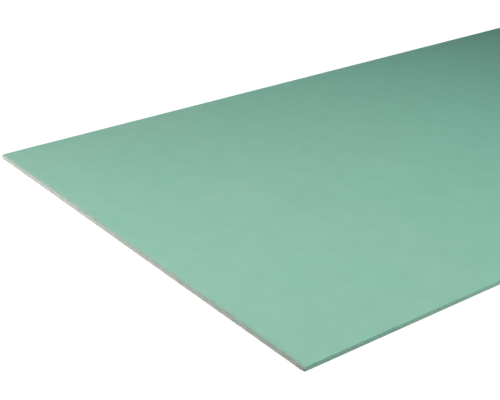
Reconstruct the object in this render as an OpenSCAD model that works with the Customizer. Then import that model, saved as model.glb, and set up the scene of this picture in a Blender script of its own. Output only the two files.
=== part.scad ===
/* [Sheet] */
// Length of the sheet, along its paper-wrapped edges
sheet_length = 2400; // [1200:10:3600]
// Width of the sheet, from one wrapped edge to the other
sheet_width = 1200; // [600:1:1250]
// Thickness of the sheet between its tapered edges
sheet_thickness = 12.5; // [9.5:0.5:25]

/* [Long edges] */
// Width of the tapered strip of the face along each long edge
taper_width = 50; // [40:1:80]
// How much thinner the sheet is at the long edge
taper_depth = 1; // [0.6:0.1:2.5]
// Outer radius of the paper's bend from the face into the long edge
face_bend_radius = 1.2; // [1:0.1:3]
// Outer radius of the paper's bend from the long edge onto the back
back_bend_radius = 1.2; // [1:0.1:3]

/* [Paper] */
// Thickness of the face paper
face_paper_thickness = 0.4; // [0.2:0.05:0.8]
// Thickness of the back paper
back_paper_thickness = 0.35; // [0.2:0.05:0.8]
// Width of the face paper folded onto the back along each long edge
lap_width = 25; // [16:1:40]
// Distance from each long edge to the back paper, which covers the rest of the lap
back_paper_setback = 8; // [4:1:15]

/* [Hidden] */

// Flat facets round each bend of the paper
bend_facets = 8;

half_width = sheet_width / 2;
// Y where the face starts to slope, Y where the lap ends
taper_start = half_width - taper_width;
lap_end = half_width - lap_width;
// Angle of the tapered strip below the level of the face
taper_angle = atan(taper_depth / taper_width);

// The bends' centres, as [y, z]. The face bend touches the long edge and the tapered strip.
back_bend_centre = [
    half_width - back_bend_radius,
    back_paper_thickness + back_bend_radius
];
face_bend_y = half_width - face_bend_radius;
face_bend_centre = [
    face_bend_y,
    sheet_thickness - (face_bend_y - taper_start) * tan(taper_angle) - face_bend_radius / cos(taper_angle)
];

// Points on an arc, from one angle to another
function arc(centre, radius, from, to) = [
    for (i = [0 : bend_facets])
        let (angle = from + (to - from) * i / bend_facets)
            centre + radius * [cos(angle), sin(angle)]
];

// Section of the face paper round the +Y edge, as [y, z], at a depth under its outer side:
// from the lap's end outwards, up round the two bends and in to the top of the taper
function wrap(depth) = concat(
    [[lap_end, back_paper_thickness + depth]],
    arc(back_bend_centre, back_bend_radius - depth, -90, 0),
    arc(face_bend_centre, face_bend_radius - depth, 0, 90 - taper_angle),
    [[taper_start - depth * tan(taper_angle / 2), sheet_thickness - depth]]
);

function reversed(points) = [for (i = [len(points) - 1 : -1 : 0]) points[i]];

function mirrored(points) = [for (point = points) [-point.x, point.y]];

// The same section from the lap on one side of the back, over the face, to the lap on the other
function full_wrap(depth) = concat(wrap(depth), reversed(mirrored(wrap(depth))));

// A [y, z] section carried along the whole length of the sheet
module along_sheet(section)
    rotate([90, 0, 90])
        linear_extrude(height = sheet_length, center = true)
            polygon(section);

// Aerated gypsum, cast between the papers and bare at the two cut ends.
// Its back is stepped by the paper's thickness, so the laps lie flush in it.
module gypsum_core()
    color("#cbc8be")
        along_sheet(concat(
            full_wrap(face_paper_thickness),
            [[-lap_end, back_paper_thickness], [lap_end, back_paper_thickness]]
        ));

// One sheet of paper over the face, round both long edges and onto the back
module face_paper()
    color("#8ec1ae")
        along_sheet(concat(full_wrap(0), reversed(full_wrap(face_paper_thickness))));

// Paper over the back, glued down over the two laps
module back_paper()
    color("#b3a893")
        translate([-sheet_length / 2, back_paper_setback - half_width, 0])
            cube([sheet_length, sheet_width - 2 * back_paper_setback, back_paper_thickness]);

gypsum_core();
face_paper();
back_paper();
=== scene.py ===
"""Looks of a moisture-resistant drywall sheet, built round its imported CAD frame.

The sheet is a gypsum core between two papers. The green face paper wraps the tapered long edges and laps
onto the back, the back paper covers the laps, and the core is bare where the sheet was cut to length. Each
piece is worked out with numpy from the frame's own sizes, in metres: X runs along the sheet, Y across it and
Z up out of its face.
"""
import itertools
import math

import bpy
import numpy as np
from bpy.props import FloatProperty, FloatVectorProperty, PointerProperty
from mathutils import Euler, Matrix, Vector


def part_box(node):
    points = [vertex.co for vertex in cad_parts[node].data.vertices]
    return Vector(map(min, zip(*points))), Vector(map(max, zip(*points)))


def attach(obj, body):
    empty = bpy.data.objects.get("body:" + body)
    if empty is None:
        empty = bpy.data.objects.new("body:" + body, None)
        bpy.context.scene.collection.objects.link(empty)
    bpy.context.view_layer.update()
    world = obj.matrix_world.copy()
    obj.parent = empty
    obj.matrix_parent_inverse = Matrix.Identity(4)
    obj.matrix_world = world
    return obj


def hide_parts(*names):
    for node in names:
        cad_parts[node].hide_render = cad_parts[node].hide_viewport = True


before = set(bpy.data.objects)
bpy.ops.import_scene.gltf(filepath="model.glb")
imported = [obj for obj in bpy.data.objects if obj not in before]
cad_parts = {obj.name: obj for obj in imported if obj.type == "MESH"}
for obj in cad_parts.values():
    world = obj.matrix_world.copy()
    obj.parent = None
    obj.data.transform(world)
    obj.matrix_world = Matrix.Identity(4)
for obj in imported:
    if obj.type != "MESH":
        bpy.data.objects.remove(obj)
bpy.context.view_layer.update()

bl_info = {
    "name": "Drywall Sheet",
    "version": (1, 0, 0),
    "blender": (4, 5, 0),
    "location": "3D View > Sidebar > Drywall",
    "description": "Makes a green drywall sheet with paper-wrapped edges and bare cut ends",
    "category": "Add Mesh",
}

MM = 0.001
PAPER_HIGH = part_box("face_paper")[1]
CORE_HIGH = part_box("gypsum_core")[1]
BACK_LOW, BACK_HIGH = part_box("back_paper")
HALF_LENGTH = PAPER_HIGH.x
HALF_WIDTH = PAPER_HIGH.y
THICKNESS = PAPER_HIGH.z - BACK_LOW.z
FACE_PAPER = PAPER_HIGH.z - CORE_HIGH.z
BACK_PAPER = BACK_HIGH.z - BACK_LOW.z

# Straight facets round each bend of the paper, and random heights along each side of a noise lattice
BEND_FACETS = 8
LATTICE = 1024
# Least angle between two faces that keeps the edge between them sharp
SHARP_ANGLE = math.radians(40)
WHITE = (1.0, 1.0, 1.0, 1.0)

# Seeds of the random wear. The papers and the arrises add the end's side, -1 or 1, to theirs.
CORE_SEEDS = {-1: 10, 1: 20}
FACE_SEED = 30
BACK_SEED = 40
ARRIS_SEED = 4198

# Spacing of the points along a paper's section, and how many times the section is set out between the ends
PAPER_SPACING = 0.5 * MM
STATIONS = 4
# Rings of points along each cut end, as shares of its worn strip, and the share that wear reaches at most
RING_SHARES = (0.6, 0.8, 1.0, 1.25)
WEAR_LIMIT = 0.55
# Distance of two columns of the core's points from each lap's end, one on either side of it
LAP_STEP = 0.01 * MM

# Fray of a paper's cut edge: sizes of its quick and its slow noise, and the inner side's share of the wear
QUICK_FRAY = 1.4 * MM
SLOW_FRAY = 3.5 * MM
INNER_WEAR = 0.5
# Tears: size of their noise, the level where they start, how steeply they open and the range of their reach
TEAR_SIZE = 9 * MM
TEAR_LEVEL = 0.675
TEAR_STEEPNESS = 4
TEAR_RANGE = (0.6, 1.4)
# Pressed arrises: size of their noise, and the range of the press in parts of the usual one
ARRIS_SIZE = 200 * MM
ARRIS_RANGE = (0.3, 1.7)
# Width of the corner knock's bell curve, in parts of the knock's depth
KNOCK_WIDTH = 1.5

# Bubbles in the mesh: largest and least radius in parts of their spacing, and depth in parts of the radius
BUBBLE_LARGEST = 0.5
BUBBLE_LEAST = 0.27
BUBBLE_DEPTH = 0.7
# Grain of the cut ends: depth and size of a coarse and of a fine noise
GRAINS = ((0.25 * MM, 6 * MM), (0.15 * MM, 1.3 * MM))
# Chips: size of their noise, the level where they start, how steeply they open and the way in which they fade
CHIP_SIZE = 7 * MM
CHIP_LEVEL = 0.6
CHIP_STEEPNESS = 3
CHIP_FADE = 1.8 * MM
# Chips at the foot of a cut end, in parts of those at its top
FOOT_CHIP = 0.4

# Bake maps: strips that each cut end is laid out in, and the share of a map that holds hidden faces
STRIPS = 7
HIDDEN = 0.03
# Clear margins of a strip, as shares of its length and of its height
END_MARGIN = 0.002
SIDE_MARGIN = 0.03


def linear(hex_colour):
    """An sRGB hex colour as linear red, green, blue and an alpha of 1."""
    parts = [int(hex_colour[i:i + 2], 16) / 255 for i in (1, 3, 5)]
    return [c / 12.92 if c <= 0.04045 else ((c + 0.055) / 1.055) ** 2.4 for c in parts] + [1.0]


def length(name, description, default):
    """A length property in metres."""
    return FloatProperty(
        name=name, description=description, default=default, min=0.0, precision=5, unit="LENGTH")


def factor(name, description, default):
    """A property from 0 to 1."""
    return FloatProperty(
        name=name, description=description, default=default, min=0.0, max=1.0, subtype="FACTOR")


def place(name, description, default):
    """A property that holds a place in metres."""
    return FloatVectorProperty(
        name=name, description=description, default=default, subtype="TRANSLATION", unit="LENGTH")


def angle(name, description, degrees):
    """An angle property, given in degrees."""
    return FloatProperty(
        name=name, description=description, default=math.radians(degrees), subtype="ANGLE")


def power(name, description, default):
    """A lamp's power in watts."""
    return FloatProperty(name=name, description=description, default=default, min=0.0, subtype="POWER")


def colour(name, description, hex_colour):
    """A colour property, given as sRGB hex."""
    return FloatVectorProperty(
        name=name, description=description, default=linear(hex_colour), size=4, min=0.0, max=1.0,
        subtype="COLOR")


class SheetSizes(bpy.types.PropertyGroup):
    """Sizes that the frame's boxes don't give: of the paper's wrap, the core's bubbles and the wear."""

    taper_width: length("Taper width", "Width of the sloping strip along each long edge", 50 * MM)
    taper_depth: length("Taper depth", "How much thinner the sheet is at its long edge", 1.0 * MM)
    face_bend: length("Face bend", "Outer radius of the paper from the face into the long edge", 1.2 * MM)
    back_bend: length("Back bend", "Outer radius of the paper from the long edge onto the back", 1.2 * MM)
    lap_width: length("Lap width", "Width of the face paper folded onto the back", 25 * MM)
    fray: length("Fray", "How far the paper's cut edge is frayed at most", 2.2 * MM)
    tear: length("Tear", "How far the paper's cut edge is worn back at a tear", 4.0 * MM)
    worn_strip: length("Worn strip", "Width of the strip along each cut end that is pressed down", 8 * MM)
    arris_press: length("Arris press", "How far a cut end's upper arris is usually pressed down", 1.6 * MM)
    grain: length("Grain", "Spacing of the points on the core's cut ends", 0.65 * MM)
    bubble: length("Bubble", "Spacing of the larger broken air bubbles on the cut ends", 4.0 * MM)
    foam: length("Foam", "Spacing of the finer air bubbles in the gypsum", 1.2 * MM)
    chip: length("Chip", "How far the core's arris is broken back at a chip", 1.4 * MM)
    corner_knock: length("Corner knock", "How far the near bottom corner is knocked in", 3.5 * MM)
    dust_strip: length("Dust strip", "Width of the dusty strip of the face along each cut end", 9 * MM)
    # Reach of a whitish film over the face from the near cut end: partly dust, partly painted sheen
    dust_and_sheen_reach: length("Dust reach", "How far a thin film of dust reaches from the near cut end", 1.6)
    # The foot of each long edge is painted darker and greyer up to this height: partly scuffs, partly painted
    # contact shade
    scuff_and_shade_height: length("Scuff height", "Height of the scuffed strip at the foot of a long edge", 5 * MM)


class SheetColours(bpy.types.PropertyGroup):
    """Colours of the papers and the core, as they look in plain white light."""

    face_green: colour("Face green", "Green of the face paper", "#86C2AD")
    # Colour of the rubs, and of the painted contact shade at the foot of each long edge
    scuff_and_shade_green: colour("Scuff green", "Face paper rubbed down to its duller fibres", "#839C90")
    # Also the darker tint over the top of the cut ends: partly fibres, partly painted shade under the paper
    ply_green: colour("Ply green", "Dyed plies of the face paper, where they are cut", "#9BB0A2")
    ply_grey: colour("Ply grey", "Plies of the back paper, where they are cut", "#A9A595")
    back_grey: colour("Back grey", "Grey-brown of the back paper", "#B3A893")
    core_light: colour("Core light", "Pale parts of the gypsum with a green cast", "#C8D7CD")
    core_warm: colour("Core warm", "Pale parts of the gypsum with a pink cast", "#D7CFC8")
    # Also painted shade in the pits, chips and bubbles of the cut ends
    core_dust_and_shade: colour("Core dark", "Pits and dusty parts of the gypsum", "#BCC3B9")
    # Dirt and painted shade in the knocked corner and the deepest pits
    core_dirt_and_shade: colour("Core dirt", "Knocked and dirty parts of the gypsum", "#66675F")
    # Also the whitish film over the face's near end, which is partly dust and partly painted sheen
    dust: colour("Dust", "Gypsum dust on the face", "#C2C0AE")


class StageSettings(bpy.types.PropertyGroup):
    """Camera, lamps and floor."""

    camera_offset: place("Camera offset", "Camera, from the face's near corner", (-1.243, -1.329, 1.2365))
    heading: angle("Heading", "Camera's turn from +Y towards +X", 39.49)
    pitch: angle("Pitch", "Camera's tilt below level", 26.122)
    roll: angle("Roll", "Camera's turn about its own axis", 2.01)
    lens: FloatProperty(
        name="Lens", description="Camera's focal length", subtype="DISTANCE_CAMERA", default=83.1)
    sensor: FloatProperty(
        name="Sensor", description="Width of the camera's sensor", subtype="DISTANCE_CAMERA", default=36.0)
    view_end: length("View end", "How far the camera sees", 100.0)
    overhead_power: power("Overhead lamp", "Softbox high over the sheet, behind a grid", 41.3)
    left_power: power("Left lamp", "Low softbox that faces the cut end", 15.75)
    right_power: power("Right lamp", "Softbox that faces the long edge", 40.0)
    even_light: factor("Even light", "Strength of the light from all round", 0.02)
    floor_size: length("Floor size", "Side of the square floor", 40.0)
    floor_bounce: factor("Floor bounce", "Share of its light that the floor throws onto the sheet", 0.68)
    floor_shade: factor("Floor shade", "Share of the lamps' light that shows on the floor", 0.2)
    floor_glow: factor("Floor glow", "The floor's own light round the glow's middle", 0.92)
    glow_middle: place("Glow middle", "Place on the floor that the glow grows away from", (-0.9, -0.3, 0.0))
    glow_start: length("Glow start", "Distance from its middle where the glow begins to grow", 1.0)
    glow_end: length("Glow end", "Distance from its middle where the floor is plain white", 2.2)


PROPERTIES = {"sheet_sizes": SheetSizes, "sheet_colours": SheetColours, "sheet_stage": StageSettings}


def smooth(t):
    """Smoothstep: 3 t squared less 2 t cubed, for t from 0 to 1."""
    return t * t * (3 - 2 * t)


def ramp(noise, level, steepness):
    """How far a noise has risen over a level: the rise times a steepness, held from 0 to 1 and smoothed."""
    return smooth(np.clip((noise - level) * steepness, 0, 1))


def soft_noise(u, v, size, seed):
    """Smooth noise from 0 to 1: random heights on a square lattice, blended between each cell's corners."""
    heights = np.random.default_rng(seed).random((LATTICE, LATTICE))
    column = np.floor(u / size).astype(int)
    row = np.floor(v / size).astype(int)
    across = smooth(u / size - column)
    up = smooth(v / size - row)
    left, right = column % LATTICE, (column + 1) % LATTICE
    bottom, top = row % LATTICE, (row + 1) % LATTICE
    low = heights[left, bottom] * (1 - across) + heights[right, bottom] * across
    high = heights[left, top] * (1 - across) + heights[right, top] * across
    return low * (1 - up) + high * up


def broken_bubbles(u, v, cell, seed):
    """Depth of the larger cut-open air bubbles. Each square cell may hold one, at a random place and with a
    random radius. Its depth is a share of its radius, times the square of 1 less the squared share of the
    radius that a point lies from its middle: a round bowl with a soft rim. A bubble under the least radius,
    which the points are too far apart to show, has no depth."""
    draws = np.random.default_rng(seed).random((3, LATTICE, LATTICE))
    column = np.floor(u / cell).astype(int)
    row = np.floor(v / cell).astype(int)
    depth = np.zeros_like(u)
    for step_u, step_v in itertools.product((-1, 0, 1), repeat=2):
        across, up, share = draws[:, (column + step_u) % LATTICE, (row + step_v) % LATTICE]
        radius = BUBBLE_LARGEST * cell * share ** 2
        from_u = u - (column + step_u + across) * cell
        from_v = v - (row + step_v + up) * cell
        inside = np.clip(1 - (from_u ** 2 + from_v ** 2) / radius ** 2, 0, None)
        bowl = (radius > BUBBLE_LEAST * cell) * BUBBLE_DEPTH * radius * inside ** 2
        depth = np.maximum(depth, bowl)
    return depth


def arc(centre, radius, start, end):
    """Points round a centre at one radius, from one angle to another in degrees, as (y, z) rows."""
    turn = np.radians(np.linspace(start, end, BEND_FACETS + 1))
    return np.array(centre) + radius * np.column_stack((np.cos(turn), np.sin(turn)))


def wrap(depth):
    """Section of the face paper round the +Y edge, at a depth under its outer side, as (y, z) rows. It runs
    from the lap's end along the back, round the back bend, up the edge, round the face bend and up the taper
    to the face. The face bend's circle touches the edge and the taper, and a line at a depth is parallel to
    the outer one."""
    sizes = bpy.context.scene.sheet_sizes
    slope = math.atan2(sizes.taper_depth, sizes.taper_width)
    taper_start = HALF_WIDTH - sizes.taper_width
    face_y = HALF_WIDTH - sizes.face_bend
    face_z = THICKNESS - (face_y - taper_start) * math.tan(slope) - sizes.face_bend / math.cos(slope)
    back_centre = (HALF_WIDTH - sizes.back_bend, BACK_PAPER + sizes.back_bend)
    return np.vstack((
        [[HALF_WIDTH - sizes.lap_width, BACK_PAPER + depth]],
        arc(back_centre, sizes.back_bend - depth, -90, 0),
        arc((face_y, face_z), sizes.face_bend - depth, 0, 90 - math.degrees(slope)),
        [[taper_start - depth * math.tan(slope / 2), THICKNESS - depth]],
    ))


def both_edges(half):
    """A section round the +Y edge, joined to its mirror image round the -Y edge."""
    return np.vstack((half, half[::-1] * (-1, 1)))


def finer(paths, spacing):
    """The same paths with points added at about a spacing. All get as many as the first, and stay in step."""
    first = paths[0]
    counts = np.ceil(np.hypot(*np.diff(first, axis=0).T) / spacing).astype(int)
    steps = [np.arange(count) / count + i for i, count in enumerate(counts)]
    at = np.append(np.concatenate(steps), len(first) - 1)
    index = np.arange(len(first))
    return [np.column_stack([np.interp(at, index, path[:, k]) for k in (0, 1)]) for path in paths]


def travel(section):
    """Distance along a section of (y, z) rows, from its first point."""
    return np.append(0, np.cumsum(np.hypot(*np.diff(section, axis=0).T)))


def corner_knock(y, z, side):
    """How far a knock drives in the near bottom corner of the -X end: a bell curve of the distance from that
    corner. The +X end has none."""
    sizes = bpy.context.scene.sheet_sizes
    reach = np.hypot(y + HALF_WIDTH, z - BACK_PAPER)
    return (side < 0) * sizes.corner_knock * np.exp(-(reach / (KNOCK_WIDTH * sizes.corner_knock)) ** 2)


def worn_back(section, side, seed):
    """How far a paper's cut edge is worn back at each point of its section. A fine fray everywhere is the
    product of a quick and a slow noise. A tear is where a slower noise passes a level, made uneven by the
    quick noise. The corner's knock is added, and the sum stops at a share of the worn strip."""
    sizes = bpy.context.scene.sheet_sizes
    along = travel(section)
    quick = soft_noise(along, 0 * along, QUICK_FRAY, seed + 3)
    fray = sizes.fray * quick * soft_noise(along, 0 * along, SLOW_FRAY, seed)
    torn = ramp(soft_noise(along, 0 * along, TEAR_SIZE, seed + 1), TEAR_LEVEL, TEAR_STEEPNESS)
    tear = sizes.tear * torn * np.interp(quick, (0, 1), TEAR_RANGE)
    return np.minimum(fray + tear + corner_knock(*section.T, side), WEAR_LIMIT * sizes.worn_strip)


def arris_drop(y, z, inward, side):
    """How far a point near a cut end is pressed down: a slow noise across the sheet, times the point's height
    over the back, times the square of what is left of the worn strip, so that the arris rolls over and the
    strip runs out."""
    sizes = bpy.context.scene.sheet_sizes
    noise = soft_noise(y, 0 * y, ARRIS_SIZE, ARRIS_SEED + side)
    press = sizes.arris_press * np.interp(noise, (0, 1), ARRIS_RANGE)
    height = np.clip((z - BACK_PAPER) / (THICKNESS - BACK_PAPER), 0, 1)
    return press * height * np.clip(1 - inward / sizes.worn_strip, 0, 1) ** 2


def at_end(side, inward, y, z):
    """Grid of points at a distance inward from the cut end on one side, pressed down with its arris."""
    inward, y, z = np.broadcast_arrays(inward, y, z)
    return np.dstack((side * (HALF_LENGTH - inward), y, z - arris_drop(y, z, inward, side)))


def end_rings():
    """Distances from a cut end of the rings of points that carry its worn strip, as a column."""
    return bpy.context.scene.sheet_sizes.worn_strip * np.array(RING_SHARES)[:, None]


def hoop_faces(hoops):
    """Quads between each closed hoop of point numbers and the next."""
    after = np.roll(hoops, -1, axis=1)
    return np.dstack((hoops[:-1], after[:-1], after[1:], hoops[1:])).reshape(-1, 4)


def new_piece(name, points, faces, materials, material_index=None, bake_map=None):
    """A mesh piece at the origin from arrays of points and quads, with its sharp edges kept sharp. A bake map
    gives each corner of each quad its place on a square picture of the whole surface."""
    mesh = bpy.data.meshes.new(name)
    mesh.from_pydata(points, [], faces)
    for material in materials:
        mesh.materials.append(material)
    if material_index is not None:
        mesh.polygons.foreach_set("material_index", material_index)
    if bake_map is not None:
        mesh.uv_layers.new(name="OFBake").data.foreach_set("uv", bake_map.astype(np.float32).ravel())
    mesh.polygons.foreach_set("use_smooth", np.ones(len(faces), bool))
    mesh.set_sharp_from_angle(angle=SHARP_ANGLE)
    mesh.validate()
    piece = bpy.data.objects.new(name, mesh)
    bpy.context.scene.collection.objects.link(piece)
    return piece


def paper_shell(name, outer, inner, materials, seed):
    """A sheet of paper of constant section, carried along X between two worn cut edges. A ring of points runs
    along the outer section and back along the inner one, and is repeated at stations along X, of which the
    first and the last follow the wear. The inner side has only a share of it, so that a torn edge thins out.
    Quads join each ring to the next, and outer to inner at the two cut edges."""
    outer, inner = finer([outer, inner], PAPER_SPACING)
    count = len(outer)
    ring = np.vstack((outer, inner[::-1]))
    rings = end_rings()
    ends = []
    for side in (-1, 1):
        worn = worn_back(outer, side, seed + side)
        inward = np.vstack((np.append(worn, INNER_WEAR * worn[::-1]), np.tile(rings, 2 * count)))
        ends.append(at_end(side, inward, *ring.T))
    even = np.linspace(-1, 1, STATIONS + 2)[1:-1, None] * (HALF_LENGTH - rings[-1])
    points = np.vstack((ends[0], np.dstack(np.broadcast_arrays(even, *ring.T)), ends[1][::-1]))
    index = np.arange(len(points) * 2 * count).reshape(-1, 2 * count)
    sides = hoop_faces(index)
    pairs = np.arange(count - 1)
    cap = np.column_stack((pairs, 2 * count - 1 - pairs, 2 * count - 2 - pairs, pairs + 1))
    faces = np.vstack((sides, cap, index[-1][cap[:, ::-1]]))
    cut = np.arange(len(faces)) >= len(sides)
    points = points.reshape(-1, 3)
    bake_map = paper_map(points[sides, 0], travel(outer))
    return new_piece(name, points, faces, materials, cut.astype(np.int32), bake_map)


def paper_map(x, along):
    """Bake map of a paper: its outer side fills the picture, with X across it and the way along its section
    up it. Its inner side lies in a thin strip below, and its two cut edges in two thin bands between them."""
    share = along / along[-1]
    shown = 2 * HIDDEN + (1 - 2 * HIDDEN) * share
    hidden = np.linspace(0, HIDDEN, len(share) + 2)
    start = np.append(shown[:-1], hidden[:-1])
    end = np.append(shown[1:], hidden[1:])
    up = np.tile(np.column_stack((start, end, end, start)), (len(x) // len(start), 1))
    sides = np.dstack(((x / HALF_LENGTH + 1) / 2, up))
    # Each band is a fifth of the hidden strip in height, with as much left clear below it.
    band = HIDDEN / 5
    cap_along = np.column_stack((share[:-1], share[:-1], share[1:], share[1:]))
    cap_up = np.broadcast_to(HIDDEN + band * np.array([1, 2, 2, 1]), cap_along.shape)
    cap = np.dstack((cap_along, cap_up))
    return np.vstack((sides, cap, cap[:, ::-1] + (0, 2 * band)))


def cut_end_depth(y, z, low, high, seed):
    """How deep the core's cut end lies behind the square cut, over its width and thickness: a coarse and a
    fine grain, broken bubbles, and chips along the two arrises that fade with the distance from them, smaller
    at the foot."""
    sizes = bpy.context.scene.sheet_sizes
    depth = sum(most * soft_noise(y, z, size, seed + step) for step, (most, size) in enumerate(GRAINS))
    depth += broken_bubbles(y, z, sizes.bubble, seed + 2)
    for arris, chip, step in ((low, FOOT_CHIP * sizes.chip, 3), (high, sizes.chip, 4)):
        chipped = ramp(soft_noise(y, 0 * y, CHIP_SIZE, seed + step), CHIP_LEVEL, CHIP_STEEPNESS)
        depth += chip * chipped * np.exp(-np.abs(z - arris) / CHIP_FADE)
    return depth


def core_heights(y):
    """Heights of the core's underside and top at each place across the sheet, read off the paper's inner
    section, with the step in the underside where the lap ends."""
    sizes = bpy.context.scene.sheet_sizes
    section = wrap(FACE_PAPER)
    flat = [[0, BACK_PAPER], [HALF_WIDTH - sizes.lap_width, BACK_PAPER]]
    lower = np.vstack((flat, section[:BEND_FACETS + 2]))
    upper = section[:BEND_FACETS + 1:-1]
    low = np.interp(np.abs(y), lower[:, 0], lower[:, 1])
    high = np.interp(np.abs(y), upper[:, 0], upper[:, 1])
    return low, high


def core_columns():
    """Places across the sheet for the cut ends' grid: evenly spaced, closer round the bends, and a pair on
    either side of each lap's step."""
    sizes = bpy.context.scene.sheet_sizes
    edge = HALF_WIDTH - FACE_PAPER
    bend = max(sizes.face_bend, sizes.back_bend) - FACE_PAPER
    step = HALF_WIDTH - sizes.lap_width
    even = np.linspace(0, edge - bend, round((edge - bend) / sizes.grain))
    turn = np.radians(np.linspace(0, 90, BEND_FACETS + 1)[1:])
    round_bend = edge - bend * (1 - np.sin(turn))
    half = np.sort(np.concatenate((even[1:], round_bend, [step - LAP_STEP, step + LAP_STEP])))
    return np.concatenate((-half[::-1], [0], half))


def gypsum_core(materials):
    """The core as a closed mesh: a grid over the section at each end, set back by the cut's roughness, and
    hoops along X that join the two grids' rims. Two values at each point serve its material: how deep it lies
    behind the cut, in millimetres, and its share of the core's height."""
    sizes = bpy.context.scene.sheet_sizes
    y = core_columns()
    low, high = core_heights(y)
    share = np.linspace(0, 1, round((THICKNESS - FACE_PAPER) / sizes.grain))
    z = low[:, None] + (high - low)[:, None] * share
    wide = np.broadcast_to(y[:, None], z.shape)
    index = np.arange(z.size).reshape(z.shape)
    rim = np.concatenate((index[:-1, 0], index[-1, :-1], index[:0:-1, -1], index[0, :0:-1]))
    pits, caps, hoops = [], [], []
    for side, seed in CORE_SEEDS.items():
        depth = cut_end_depth(wide, z, low[:, None], high[:, None], seed) + corner_knock(wide, z, side)
        pits.append(np.minimum(depth, WEAR_LIMIT * sizes.worn_strip))
        caps.append(at_end(side, pits[-1], wide, z).reshape(-1, 3))
        hoops.append(at_end(side, end_rings()[:-1], wide.ravel()[rim], z.ravel()[rim]))
    between = np.vstack((hoops[0], hoops[1][::-1]))
    numbers = 2 * z.size + np.arange(between.size // 3).reshape(between.shape[:2])
    numbers = np.vstack((rim, numbers, rim + z.size))
    cap = np.dstack((index[:-1, :-1], index[:-1, 1:], index[1:, 1:], index[1:, :-1])).reshape(-1, 4)
    faces = np.vstack((cap, cap[:, ::-1] + z.size, hoop_faces(numbers)))
    piece = new_piece(
        "gypsum_core_cut", np.vstack((*caps, between.reshape(-1, 3))), faces, materials,
        bake_map=core_map(z.shape, numbers.shape))
    depth = np.concatenate([pit.ravel() for pit in pits] + [np.zeros(between.size // 3)]) / MM
    rise = np.broadcast_to(share, z.shape).ravel()
    rise = np.concatenate((rise, rise, np.tile(rise[rim], len(between))))
    for name, values in (("pit_depth", depth), ("rise", rise)):
        attribute = piece.data.attributes.new(name, "FLOAT", "POINT")
        attribute.data.foreach_set("value", values.astype(np.float32))
    return piece


def core_map(grid, hoops):
    """Bake map of the core: each cut end's long grid is cut into strips of columns, laid one above the other,
    and the walls under the papers lie in a thin strip at the top."""
    columns, rows = grid
    column, row = (number.reshape(-1, 1) for number in np.mgrid[:columns - 1, :rows - 1])
    per_strip = math.ceil((columns - 1) / STRIPS)
    strip = column // per_strip
    along = (column + np.array([0, 0, 1, 1]) - strip * per_strip) / per_strip
    up = (row + np.array([0, 1, 1, 0])) / (rows - 1)
    u = END_MARGIN + (1 - 2 * END_MARGIN) * along
    v = strip + SIDE_MARGIN + (1 - 2 * SIDE_MARGIN) * up
    ends = [np.dstack((u, (1 - HIDDEN) * (v + first) / (2 * STRIPS))) for first in (0, STRIPS)]
    hoop, place_on = (number.reshape(-1, 1) for number in np.mgrid[:hoops[0] - 1, :hoops[1]])
    wall_u = (place_on + np.array([0, 1, 1, 0])) / hoops[1]
    wall_v = 1 - HIDDEN + HIDDEN * (hoop + np.array([0, 0, 1, 1])) / (hoops[0] - 1)
    return np.vstack((ends[0], ends[1][:, ::-1], np.dstack((wall_u, wall_v))))


def add_node(tree, kind, inputs=None, **settings):
    """Adds a node, sets its properties and its inputs, and links each input that is given as a socket."""
    made = tree.nodes.new(kind)
    for name, value in settings.items():
        setattr(made, name, value)
    for name, value in (inputs or {}).items():
        if isinstance(value, bpy.types.NodeSocket):
            tree.links.new(value, made.inputs[name])
        else:
            made.inputs[name].default_value = value
    return made


def new_material(name):
    """An empty node material, with its tree, its output and the place of each point in metres."""
    material = bpy.data.materials.new(name)
    material.use_nodes = True
    tree = material.node_tree
    tree.nodes.clear()
    output = add_node(tree, "ShaderNodeOutputMaterial")
    spot = add_node(tree, "ShaderNodeTexCoord").outputs["Object"]
    return material, tree, output, spot


def shade_of(rgba, times):
    """A colour made darker or lighter by a factor."""
    return [min(1.0, c * times) for c in rgba[:3]] + [1.0]


def grey(level):
    """A grey of one level, with an alpha of 1."""
    return [level] * 3 + [1.0]


def two_tones(tree, value, rgba, dark, light):
    """A colour that runs with a value from a darker to a lighter tone. Each tone is given as the value where
    it is reached and the factor that makes it from the colour."""
    made = add_node(tree, "ShaderNodeValToRGB", {"Fac": value})
    for element, (reached, times) in zip(made.color_ramp.elements, (dark, light)):
        element.position = reached
        element.color = shade_of(rgba, times)
    return made.outputs["Color"]


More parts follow.
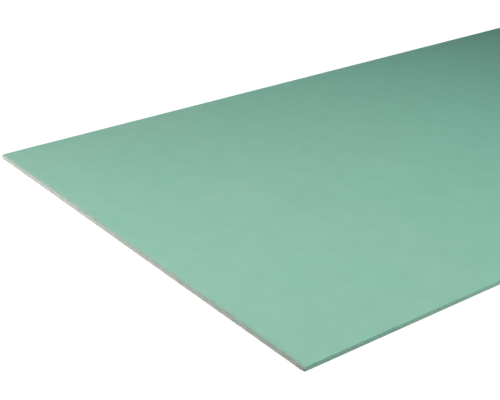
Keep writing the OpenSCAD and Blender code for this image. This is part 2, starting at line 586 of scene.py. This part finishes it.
def green_liner_paper():
    """Green moisture-resistant liner, calendered on the paper machine: a matt, even green with faint clouds
    where the fibres lie thicker, short fibres along the machine's run and almost no gloss. Gypsum dust greys
    it along both cut ends. A thin whitish film that reaches in from the near one is partly dust and partly
    painted sheen. The foot of each long edge is painted darker and greyer, partly scuffs and partly painted
    contact shade, and its upright part is rubbed in spots."""
    colours = bpy.context.scene.sheet_colours
    sizes = bpy.context.scene.sheet_sizes
    material, tree, output, spot = new_material("Green liner paper, calendered")
    # Clouds are about 45 mm across. Fibres of 0.03 by 2 mm are too fine, and drawn coarser: 1.2 by 10 mm.
    clouds = add_node(tree, "ShaderNodeTexNoise", {"Vector": spot, "Scale": 1 / (45 * MM), "Detail": 2.0})
    run = add_node(tree, "ShaderNodeMapping", {"Vector": spot, "Scale": (0.12, 1.0, 1.0)})
    fibres = add_node(tree, "ShaderNodeTexNoise", {
        "Vector": run.outputs["Vector"], "Scale": 1 / (1.2 * MM), "Detail": 3.0})
    mottle = add_node(tree, "ShaderNodeMix", {
        "Factor": 0.35, "A": clouds.outputs["Fac"], "B": fibres.outputs["Fac"]})
    tint = two_tones(tree, mottle.outputs["Result"], colours.face_green, (0.3, 0.965), (0.7, 1.035))
    # Dust lies in specks of about 7 mm near the cut. Further in, drifts about 0.35 m across carry a whitish
    # film that is partly dust and partly painted sheen.
    axes = add_node(tree, "ShaderNodeSeparateXYZ", {"Vector": spot})
    out_to_end = add_node(tree, "ShaderNodeMath", {0: axes.outputs["X"]}, operation="ABSOLUTE")
    specks = add_node(tree, "ShaderNodeTexNoise", {"Vector": spot, "Scale": 1 / (7 * MM), "Detail": 3.0})
    strip = add_node(tree, "ShaderNodeMapRange", {
        "Value": out_to_end.outputs["Value"], "From Min": HALF_LENGTH - sizes.dust_strip,
        "From Max": HALF_LENGTH, "To Max": 0.5}, interpolation_type="SMOOTHSTEP")
    strip = add_node(tree, "ShaderNodeMath", {
        0: strip.outputs["Result"], 1: specks.outputs["Fac"]}, operation="MULTIPLY")
    drifts = add_node(tree, "ShaderNodeTexNoise", {
        "Vector": spot, "Scale": 1 / 0.35, "Detail": 4.0, "Roughness": 0.7})
    # The film is partly dust and partly painted sheen, strongest at the near cut end
    film = add_node(tree, "ShaderNodeMapRange", {
        "Value": axes.outputs["X"], "From Min": sizes.dust_and_sheen_reach - HALF_LENGTH, "From Max": -HALF_LENGTH,
        "To Max": 0.27}, interpolation_type="SMOOTHSTEP")
    # Dust near the cuts, and the film of dust and painted sheen further in
    dusty = add_node(tree, "ShaderNodeMath", {
        0: film.outputs["Result"], 1: drifts.outputs["Fac"], 2: strip.outputs["Value"]},
        operation="MULTIPLY_ADD")
    dusted_and_sheened = add_node(tree, "ShaderNodeMix", {
        "Factor": dusty.outputs["Value"], "A": tint, "B": colours.dust}, data_type="RGBA")
    # Painted contact shade at the foot of each long edge, darker towards the floor and broken up by the
    # specks, partly scuffs
    scuff_and_shade = add_node(tree, "ShaderNodeMapRange", {
        "Value": axes.outputs["Z"], "From Min": sizes.scuff_and_shade_height, "From Max": 0.2 * sizes.scuff_and_shade_height,
        "To Max": 1.2}, interpolation_type="SMOOTHSTEP")
    scuff_and_shade = add_node(tree, "ShaderNodeMath", {
        0: scuff_and_shade.outputs["Result"], 1: specks.outputs["Fac"]}, operation="MULTIPLY")
    # Handling leaves rubs 3 to 8 mm across on the upright part of the long edges and on their bends.
    out_to_edge = add_node(tree, "ShaderNodeMath", {0: axes.outputs["Y"]}, operation="ABSOLUTE")
    upright = add_node(tree, "ShaderNodeMapRange", {
        "Value": out_to_edge.outputs["Value"], "From Min": HALF_WIDTH - sizes.face_bend,
        "From Max": HALF_WIDTH})
    handled = add_node(tree, "ShaderNodeTexNoise", {
        "Vector": spot, "Scale": 1 / (6 * MM), "Detail": 3.0, "Roughness": 0.6})
    rubs = add_node(tree, "ShaderNodeMapRange", {
        "Value": handled.outputs["Fac"], "From Min": 0.45, "From Max": 0.7, "To Max": 0.5})
    rubs = add_node(tree, "ShaderNodeMath", {
        0: rubs.outputs["Result"], 1: upright.outputs["Result"]}, operation="MULTIPLY")
    # Rubs and the painted contact shade at the foot, in one mask
    worn = add_node(tree, "ShaderNodeMath", {
        0: scuff_and_shade.outputs["Value"], 1: rubs.outputs["Value"]}, operation="MAXIMUM")
    rubbed = add_node(tree, "ShaderNodeMix", {
        "Factor": worn.outputs["Value"], "A": dusted_and_sheened.outputs["Result"], "B": colours.scuff_and_shade_green},
        data_type="RGBA")
    rough = add_node(tree, "ShaderNodeMapRange", {
        "Value": fibres.outputs["Fac"], "To Min": 0.72, "To Max": 0.88})
    bump = add_node(tree, "ShaderNodeBump", {
        "Strength": 0.5, "Distance": 0.12 * MM, "Height": fibres.outputs["Fac"]})
    shader = add_node(tree, "ShaderNodeBsdfPrincipled", {
        "Base Color": rubbed.outputs["Result"], "Roughness": rough.outputs["Result"], "IOR": 1.45,
        "Specular IOR Level": 0.2, "Normal": bump.outputs["Normal"]})
    tree.links.new(shader.outputs["BSDF"], output.inputs["Surface"])
    return material


def recycled_liner_paper(name, rgba):
    """Uncoated liner of recycled fibres, straight off the paper machine or cut through: dull and matt, with
    pale and dark flecks of the papers that it was made from."""
    material, tree, output, spot = new_material(name)
    # Flecks are about 1.5 by 4 mm, and clouds 25 mm across.
    run = add_node(tree, "ShaderNodeMapping", {"Vector": spot, "Scale": (0.4, 1.0, 1.0)})
    flecks = add_node(tree, "ShaderNodeTexNoise", {
        "Vector": run.outputs["Vector"], "Scale": 1 / (1.5 * MM), "Detail": 4.0, "Roughness": 0.65})
    clouds = add_node(tree, "ShaderNodeTexNoise", {"Vector": spot, "Scale": 1 / (25 * MM), "Detail": 2.0})
    mottle = add_node(tree, "ShaderNodeMix", {
        "Factor": 0.6, "A": clouds.outputs["Fac"], "B": flecks.outputs["Fac"]})
    tint = two_tones(tree, mottle.outputs["Result"], rgba, (0.25, 0.84), (0.75, 1.12))
    bump = add_node(tree, "ShaderNodeBump", {
        "Strength": 0.3, "Distance": 0.06 * MM, "Height": flecks.outputs["Fac"]})
    shader = add_node(tree, "ShaderNodeBsdfPrincipled", {
        "Base Color": tint, "Roughness": 0.9, "IOR": 1.45, "Specular IOR Level": 0.2,
        "Normal": bump.outputs["Normal"]})
    tree.links.new(shader.outputs["BSDF"], output.inputs["Surface"])
    return material


def aerated_gypsum():
    """Foamed gypsum, set and cut through: pale grey with a pink or a green cast, dead matt, with dusty
    patches and a fine sugary grain. Its broken bubbles and pits are painted darker as painted shade. Its
    upper part is tinted darker green, partly by fibres of the paper that the cut drew over its top and partly
    as painted shade under the paper's edge. Where it was knocked it is darker, partly dirt and partly painted
    shade."""
    colours = bpy.context.scene.sheet_colours
    sizes = bpy.context.scene.sheet_sizes
    material, tree, output, spot = new_material("Aerated gypsum, cut")
    # Casts of colour are about 10 mm across, dusty patches 14 mm and the grain 0.8 mm.
    casts = add_node(tree, "ShaderNodeTexNoise", {"Vector": spot, "Scale": 1 / (10 * MM), "Detail": 2.0})
    cast = add_node(tree, "ShaderNodeMapRange", {
        "Value": casts.outputs["Fac"], "From Min": 0.4, "From Max": 0.6})
    pale = add_node(tree, "ShaderNodeMix", {
        "Factor": cast.outputs["Result"], "A": colours.core_light, "B": colours.core_warm}, data_type="RGBA")
    patches = add_node(tree, "ShaderNodeTexNoise", {"Vector": spot, "Scale": 1 / (14 * MM), "Detail": 3.0})
    grain = add_node(tree, "ShaderNodeTexNoise", {
        "Vector": spot, "Scale": 1 / (0.8 * MM), "Detail": 4.0, "Roughness": 0.65})
    dust = add_node(tree, "ShaderNodeMix", {
        "Factor": 0.3, "A": patches.outputs["Fac"], "B": grain.outputs["Fac"]})
    spread = add_node(tree, "ShaderNodeMapRange", {
        "Value": dust.outputs["Result"], "From Min": 0.35, "From Max": 0.65, "To Max": 0.8})
    # Painted shade: the larger bubbles and the chips are painted darker with their depth, in millimetres.
    pit = add_node(tree, "ShaderNodeAttribute", attribute_name="pit_depth")
    shade = add_node(tree, "ShaderNodeMapRange", {
        "Value": pit.outputs["Fac"], "From Min": 0.2, "From Max": 1.6})
    total = add_node(tree, "ShaderNodeMath", {
        0: spread.outputs["Result"], 1: shade.outputs["Result"]}, operation="MAXIMUM")
    # The finer bubbles are balls of up to 1.2 mm, each in a cell of space and with a random radius. They are
    # dented, and painted darker inside as painted shade.
    foam = add_node(tree, "ShaderNodeTexVoronoi", {"Vector": spot, "Scale": 1 / sizes.foam})
    draw = add_node(tree, "ShaderNodeSeparateColor", {"Color": foam.outputs["Color"]})
    radius = add_node(tree, "ShaderNodeMapRange", {
        "Value": draw.outputs["Red"], "To Min": 0.15, "To Max": 0.5})
    reach = add_node(tree, "ShaderNodeMath", {
        0: foam.outputs["Distance"], 1: radius.outputs["Result"]}, operation="DIVIDE")
    hollow = add_node(tree, "ShaderNodeMapRange", {
        "Value": reach.outputs["Value"], "From Min": 1.0, "From Max": 0.4}, interpolation_type="SMOOTHSTEP")
    total = add_node(tree, "ShaderNodeMath", {
        0: total.outputs["Value"], 1: hollow.outputs["Result"]}, operation="MAXIMUM")
    tint = add_node(tree, "ShaderNodeMix", {
        "Factor": total.outputs["Value"], "A": pale.outputs["Result"], "B": colours.core_dust_and_shade},
        data_type="RGBA")
    # The upper two fifths are tinted darker green: partly fibres that the cut drew over them, partly painted
    # shade under the paper's edge. The knock's deepest parts are darker: partly dirt, partly painted shade.
    rise = add_node(tree, "ShaderNodeAttribute", attribute_name="rise")
    fibres_and_top_shade = add_node(tree, "ShaderNodeMapRange", {
        "Value": rise.outputs["Fac"], "From Min": 0.6, "To Max": 1.0}, interpolation_type="SMOOTHSTEP")
    fibres_and_top_shade = add_node(tree, "ShaderNodeMath", {
        0: fibres_and_top_shade.outputs["Result"], 1: patches.outputs["Fac"]}, operation="MULTIPLY")
    fibred_and_shaded = add_node(tree, "ShaderNodeMix", {
        "Factor": fibres_and_top_shade.outputs["Value"], "A": tint.outputs["Result"], "B": colours.ply_green},
        data_type="RGBA")
    # Painted shade, partly dirt: the deepest pits and the knocked corner are painted dark
    knocked = add_node(tree, "ShaderNodeMapRange", {
        "Value": pit.outputs["Fac"], "From Min": 1.6, "From Max": 3.0})
    dirty = add_node(tree, "ShaderNodeMix", {
        "Factor": knocked.outputs["Result"], "A": fibred_and_shaded.outputs["Result"], "B": colours.core_dirt_and_shade},
        data_type="RGBA")
    bump = add_node(tree, "ShaderNodeBump", {
        "Strength": 0.7, "Distance": 0.25 * MM, "Height": grain.outputs["Fac"]})
    bump = add_node(tree, "ShaderNodeBump", {
        "Strength": 0.7, "Distance": 0.25 * MM, "Height": hollow.outputs["Result"],
        "Normal": bump.outputs["Normal"]}, invert=True)
    shader = add_node(tree, "ShaderNodeBsdfPrincipled", {
        "Base Color": dirty.outputs["Result"], "Roughness": 0.95, "IOR": 1.52, "Specular IOR Level": 0.15,
        "Normal": bump.outputs["Normal"]})
    tree.links.new(shader.outputs["BSDF"], output.inputs["Surface"])
    return material


def white_paper_sweep():
    """Seamless white backdrop paper: it shows white to the camera and in reflections, a little darker close
    to the sheet's near end where the sheet keeps the light off, runs out to plain white away from there, and
    lights the sheet as white paper does."""
    stage = bpy.context.scene.sheet_stage
    material, tree, output, spot = new_material("White backdrop paper, seamless")
    paper = add_node(tree, "ShaderNodeBsdfDiffuse", {"Color": grey(stage.floor_bounce)})
    faint = add_node(tree, "ShaderNodeBsdfDiffuse", {"Color": grey(stage.floor_shade)})
    away = add_node(tree, "ShaderNodeVectorMath", {0: spot, 1: stage.glow_middle}, operation="DISTANCE")
    level = add_node(tree, "ShaderNodeMapRange", {
        "Value": away.outputs["Value"], "From Min": stage.glow_start, "From Max": stage.glow_end,
        "To Min": stage.floor_glow, "To Max": 1.0}, interpolation_type="SMOOTHSTEP")
    glow = add_node(tree, "ShaderNodeEmission", {"Color": WHITE, "Strength": level.outputs["Result"]})
    shown = add_node(tree, "ShaderNodeAddShader", {0: faint.outputs["BSDF"], 1: glow.outputs["Emission"]})
    ray = add_node(tree, "ShaderNodeLightPath")
    seen = add_node(tree, "ShaderNodeMath", {
        0: ray.outputs["Is Camera Ray"], 1: ray.outputs["Is Glossy Ray"]}, operation="MAXIMUM")
    seen = add_node(tree, "ShaderNodeMath", {
        0: seen.outputs["Value"], 1: ray.outputs["Is Transmission Ray"]}, operation="MAXIMUM")
    mixed = add_node(tree, "ShaderNodeMixShader", {
        0: seen.outputs["Value"], 1: paper.outputs["BSDF"], 2: shown.outputs["Shader"]})
    tree.links.new(mixed.outputs["Shader"], output.inputs["Surface"])
    return material


def finish_piece(piece, node):
    """Rides a piece on the sheet's one body and hides the CAD node that it stands for."""
    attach(piece, "root")
    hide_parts(node)


class DRYWALL_OT_gypsum_core(bpy.types.Operator):
    """Make the gypsum core with its rough cut ends"""

    bl_idname = "drywall.gypsum_core"
    bl_label = "Gypsum Core"

    def execute(self, context):
        finish_piece(gypsum_core([aerated_gypsum()]), "gypsum_core")
        return {"FINISHED"}


class DRYWALL_OT_face_paper(bpy.types.Operator):
    """Make the green face paper with its tapered, wrapped edges and its laps"""

    bl_idname = "drywall.face_paper"
    bl_label = "Face Paper"

    def execute(self, context):
        green = context.scene.sheet_colours.ply_green
        materials = [green_liner_paper(), recycled_liner_paper("Recycled face plies, cut", green)]
        outer, inner = both_edges(wrap(0)), both_edges(wrap(FACE_PAPER))
        piece = paper_shell("face_paper_wrap", outer, inner, materials, FACE_SEED)
        finish_piece(piece, "face_paper")
        return {"FINISHED"}


class DRYWALL_OT_back_paper(bpy.types.Operator):
    """Make the back paper that is glued over the laps"""

    bl_idname = "drywall.back_paper"
    bl_label = "Back Paper"

    def execute(self, context):
        colours = context.scene.sheet_colours
        materials = [
            recycled_liner_paper("Recycled liner paper, uncoated", colours.back_grey),
            recycled_liner_paper("Recycled back plies, cut", colours.ply_grey)]
        edge = BACK_HIGH.y
        outer = np.array([[-edge, BACK_LOW.z], [edge, BACK_LOW.z]])
        inner = np.array([[-edge, BACK_HIGH.z], [edge, BACK_HIGH.z]])
        piece = paper_shell("back_paper_liner", outer, inner, materials, BACK_SEED)
        finish_piece(piece, "back_paper")
        return {"FINISHED"}


class DRYWALL_OT_stage(bpy.types.Operator):
    """Make the white floor, the softboxes and the camera"""

    bl_idname = "drywall.stage"
    bl_label = "Stage"

    def execute(self, context):
        stage = context.scene.sheet_stage
        self.floor(stage.floor_size / 2)
        near_end = (-0.7, -0.1, 0.0)
        past_end = (-1.7, -0.55, 0.0)
        for name, spot, aim, size, spread, watts in (
            ("overhead_softbox", (0.42, -0.01, 4.5), past_end, 0.8, 85.4, stage.overhead_power),
            ("left_softbox", (-2.5, 0.68, 0.5), near_end, 0.4, 180.0, stage.left_power),
            ("right_softbox", (1.1, -2.4, 0.65), near_end, 0.8, 180.0, stage.right_power),
        ):
            self.softbox(name, Vector(spot), Vector(aim), size, math.radians(spread), watts)
        self.world(stage.even_light)
        self.camera(stage)
        context.scene.view_settings.view_transform = "Standard"
        return {"FINISHED"}

    def floor(self, half):
        """A square floor at the height of the sheet's back."""
        points = [(-half, -half, 0), (half, -half, 0), (half, half, 0), (-half, half, 0)]
        new_piece("floor", points, [(0, 1, 2, 3)], [white_paper_sweep()])

    def softbox(self, name, spot, aim, size, spread, watts):
        """A square lamp that faces a point, spreads its light over an angle and doesn't show itself."""
        light = bpy.data.lights.new(name, "AREA")
        light.energy = watts
        light.size = size
        light.spread = spread
        lamp = bpy.data.objects.new(name, light)
        lamp.location = spot
        lamp.rotation_euler = (aim - spot).to_track_quat("-Z", "Y").to_euler()
        lamp.visible_camera = False
        bpy.context.scene.collection.objects.link(lamp)

    def world(self, strength):
        """Even light from all round, white where the camera sees past the floor."""
        world = bpy.data.worlds.new("studio")
        bpy.context.scene.world = world
        world.use_nodes = True
        tree = world.node_tree
        tree.nodes.clear()
        ray = add_node(tree, "ShaderNodeLightPath")
        seen = add_node(tree, "ShaderNodeMath", {
            0: ray.outputs["Is Camera Ray"], 1: ray.outputs["Is Transmission Ray"]}, operation="MAXIMUM")
        dim = add_node(tree, "ShaderNodeBackground", {"Color": WHITE, "Strength": strength})
        white = add_node(tree, "ShaderNodeBackground", {"Color": WHITE, "Strength": 1.0})
        mixed = add_node(tree, "ShaderNodeMixShader", {
            0: seen.outputs["Value"], 1: dim.outputs["Background"], 2: white.outputs["Background"]})
        output = add_node(tree, "ShaderNodeOutputWorld")
        tree.links.new(mixed.outputs["Shader"], output.inputs["Surface"])

    def camera(self, stage):
        """A long lens above the near corner, turned a little about its own axis."""
        data = bpy.data.cameras.new("camera")
        data.sensor_width = stage.sensor
        data.lens = stage.lens
        data.clip_end = stage.view_end
        camera = bpy.data.objects.new("camera", data)
        turn = Euler((math.pi / 2 - stage.pitch, 0, -stage.heading)).to_matrix()
        turn = turn @ Matrix.Rotation(stage.roll, 3, "Z")
        corner = Vector((-HALF_LENGTH, -HALF_WIDTH, THICKNESS))
        camera.matrix_world = Matrix.Translation(corner + Vector(stage.camera_offset)) @ turn.to_4x4()
        bpy.context.scene.collection.objects.link(camera)
        bpy.context.scene.camera = camera


OPERATORS = (DRYWALL_OT_gypsum_core, DRYWALL_OT_face_paper, DRYWALL_OT_back_paper, DRYWALL_OT_stage)


class DRYWALL_PT_sheet(bpy.types.Panel):
    """Lists the sheet's pieces and its settings"""

    bl_idname = "DRYWALL_PT_sheet"
    bl_label = "Drywall Sheet"
    bl_space_type = "VIEW_3D"
    bl_region_type = "UI"
    bl_category = "Drywall"

    def draw(self, context):
        for operator in OPERATORS:
            self.layout.operator(operator.bl_idname)
        for name, group in PROPERTIES.items():
            box = self.layout.box()
            for prop in group.__annotations__:
                box.prop(getattr(context.scene, name), prop)


CLASSES = (*PROPERTIES.values(), *OPERATORS, DRYWALL_PT_sheet)


def register():
    for cls in CLASSES:
        bpy.utils.register_class(cls)
    for name, group in PROPERTIES.items():
        setattr(bpy.types.Scene, name, PointerProperty(type=group))


def unregister():
    for name in PROPERTIES:
        delattr(bpy.types.Scene, name)
    for cls in reversed(CLASSES):
        bpy.utils.unregister_class(cls)


def main():
    """Makes the pieces and the stage."""
    register()
    bpy.ops.drywall.gypsum_core()
    bpy.ops.drywall.face_paper()
    bpy.ops.drywall.back_paper()
    bpy.ops.drywall.stage()


if __name__ == "__main__":
    main()
